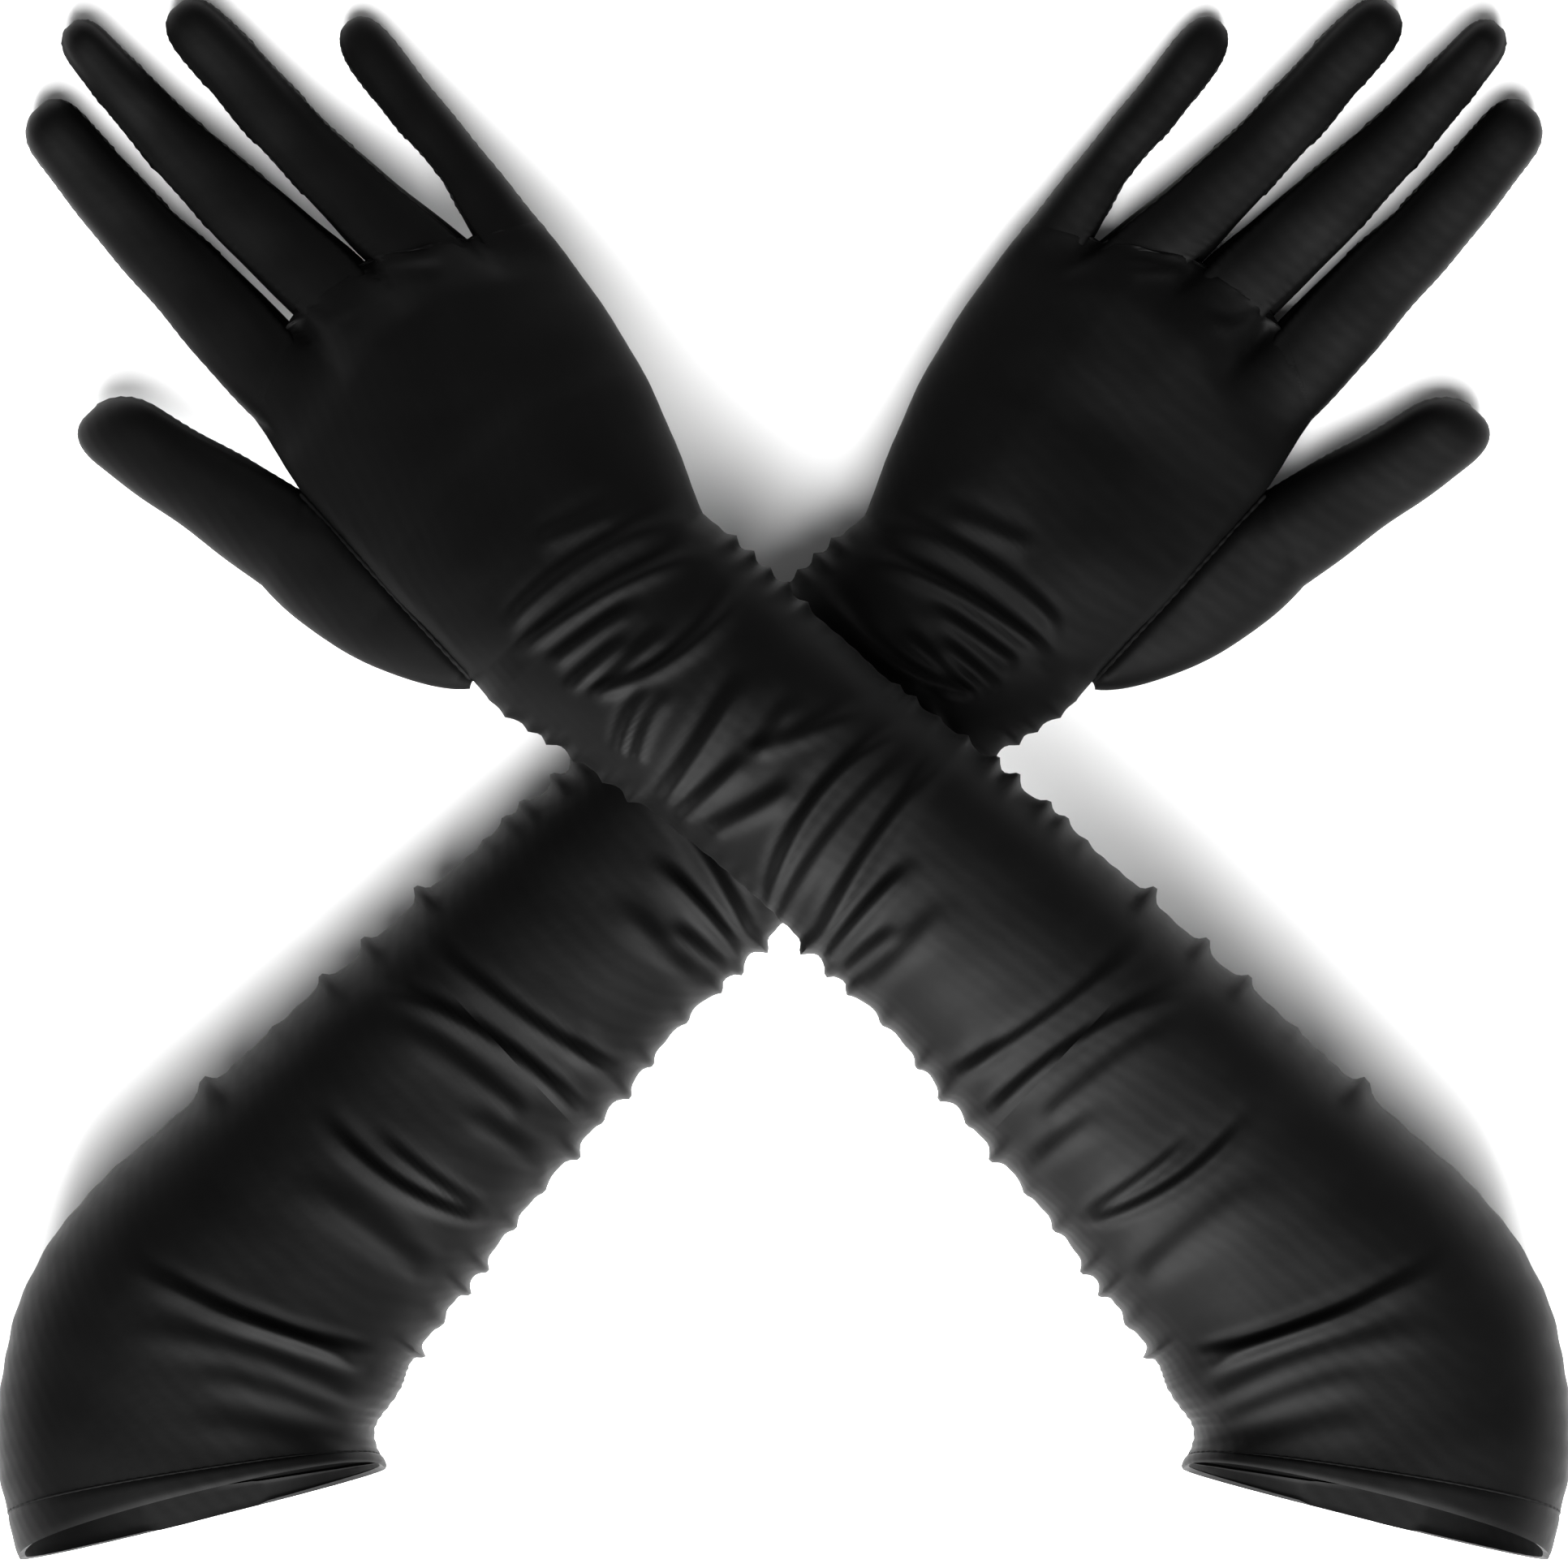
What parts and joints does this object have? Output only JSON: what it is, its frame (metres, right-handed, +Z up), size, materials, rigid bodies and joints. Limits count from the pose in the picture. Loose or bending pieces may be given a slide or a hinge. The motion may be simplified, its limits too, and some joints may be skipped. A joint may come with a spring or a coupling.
{
  "type": "opera gloves",
  "caption": "Pair of above-elbow stretch satin gloves, palms up and crossed at the forearms, hollow from hem to fingertips, with fingers, wrists and elbows that bend.",
  "frame": {"origin": "middle of the pair in plan, on the surface it lies on", "axes": "+Z up from the surface; +Y from the elbows towards the fingertips; +X towards the elbow of the left glove"},
  "size_m": [0.369, 0.3676, 0.0918],
  "materials": {
    "satin": "black stretch satin, soft sheen",
    "finger_side": "black stretch satin strips with raised seams",
    "hem_fold": "turned and stitched black satin edge"
  },
  "bodies": {
    "right_forearm": {"right_forearm_front": "satin", "right_forearm_back": "satin"},
    "right_cuff": {"right_cuff_front": "satin", "right_cuff_back": "satin", "right_hem": "hem_fold"},
    "right_hand": {"right_palm": "satin", "right_hand_back": "satin"},
    "right_index": {"right_index_front": "satin", "right_index_back": "satin", "right_index_side_to_middle": "finger_side"},
    "right_middle": {"right_middle_front": "satin", "right_middle_back": "satin", "right_middle_side_to_index": "finger_side", "right_middle_side_to_ring": "finger_side"},
    "right_ring": {"right_ring_front": "satin", "right_ring_back": "satin", "right_ring_side_to_middle": "finger_side", "right_ring_side_to_little": "finger_side"},
    "right_little": {"right_little_front": "satin", "right_little_back": "satin", "right_little_side_to_ring": "finger_side"},
    "right_thumb": {"right_thumb_front": "satin", "right_thumb_back": "satin", "right_thumb_gusset": "finger_side"},
    "left_forearm": {"left_forearm_front": "satin", "left_forearm_back": "satin"},
    "left_cuff": {"left_cuff_front": "satin", "left_cuff_back": "satin", "left_hem": "hem_fold"},
    "left_hand": {"left_palm": "satin", "left_hand_back": "satin"},
    "left_index": {"left_index_front": "satin", "left_index_back": "satin", "left_index_side_to_middle": "finger_side"},
    "left_middle": {"left_middle_front": "satin", "left_middle_back": "satin", "left_middle_side_to_index": "finger_side", "left_middle_side_to_ring": "finger_side"},
    "left_ring": {"left_ring_front": "satin", "left_ring_back": "satin", "left_ring_side_to_middle": "finger_side", "left_ring_side_to_little": "finger_side"},
    "left_little": {"left_little_front": "satin", "left_little_back": "satin", "left_little_side_to_ring": "finger_side"},
    "left_thumb": {"left_thumb_front": "satin", "left_thumb_back": "satin", "left_thumb_gusset": "finger_side"}
  },
  "joints": [
    {"name": "left_glove_lift", "type": "slide", "parent": "right_forearm", "child": "left_forearm", "axis": [0, 0, 1], "range_m": [0, 0.15]},
    {"name": "right_wrist", "type": "hinge", "parent": "right_forearm", "child": "right_hand", "pos_m": [0.04393, 0.04007, 0.04], "axis": [0.7513, -0.66, 0], "range_deg": [0, 55]},
    {"name": "right_elbow", "type": "hinge", "parent": "right_forearm", "child": "right_cuff", "pos_m": [-0.09021, -0.14363, 0], "axis": [0, 0, 1], "range_deg": [0, 40]},
    {"name": "right_thumb_fold", "type": "hinge", "parent": "right_hand", "child": "right_thumb", "pos_m": [0.09275, 0.04443, 0.033], "axis": [-0.6795, -0.7337, 0], "range_deg": [0, 55]},
    {"name": "right_index_curl", "type": "hinge", "parent": "right_hand", "child": "right_index", "pos_m": [0.12085, 0.09708, 0.01915], "axis": [0.729, -0.6845, 0], "range_deg": [0, 75]},
    {"name": "right_middle_curl", "type": "hinge", "parent": "right_hand", "child": "right_middle", "pos_m": [0.10738, 0.11517, 0.01935], "axis": [0.7009, -0.7132, 0], "range_deg": [0, 75]},
    {"name": "right_ring_curl", "type": "hinge", "parent": "right_hand", "child": "right_ring", "pos_m": [0.08598, 0.12426, 0.01885], "axis": [0.7056, -0.7086, 0], "range_deg": [0, 75]},
    {"name": "right_little_curl", "type": "hinge", "parent": "right_hand", "child": "right_little", "pos_m": [0.06562, 0.1291, 0.01735], "axis": [0.7955, -0.606, 0], "range_deg": [0, 75]},
    {"name": "left_wrist", "type": "hinge", "parent": "left_forearm", "child": "left_hand", "pos_m": [-0.04393, 0.04007, 0.08043], "axis": [0.7513, 0.66, 0], "range_deg": [0, 55]},
    {"name": "left_elbow", "type": "hinge", "parent": "left_forearm", "child": "left_cuff", "pos_m": [0.09021, -0.14363, 0.00546], "axis": [0, 0, -1], "range_deg": [0, 40]},
    {"name": "left_thumb_fold", "type": "hinge", "parent": "left_hand", "child": "left_thumb", "pos_m": [-0.09275, 0.04443, 0.06137], "axis": [-0.6542, 0.7064, -0.27], "range_deg": [0, 55]},
    {"name": "left_index_curl", "type": "hinge", "parent": "left_hand", "child": "left_index", "pos_m": [-0.12085, 0.09708, 0.0309], "axis": [0.729, 0.6845, 0], "range_deg": [0, 75]},
    {"name": "left_middle_curl", "type": "hinge", "parent": "left_hand", "child": "left_middle", "pos_m": [-0.10738, 0.11517, 0.03053], "axis": [0.7009, 0.7132, 0], "range_deg": [0, 75]},
    {"name": "left_ring_curl", "type": "hinge", "parent": "left_hand", "child": "left_ring", "pos_m": [-0.08598, 0.12426, 0.03216], "axis": [0.7056, 0.7086, 0], "range_deg": [0, 75]},
    {"name": "left_little_curl", "type": "hinge", "parent": "left_hand", "child": "left_little", "pos_m": [-0.06562, 0.1291, 0.0328], "axis": [0.7955, 0.606, 0], "range_deg": [0, 75]}
  ]
}
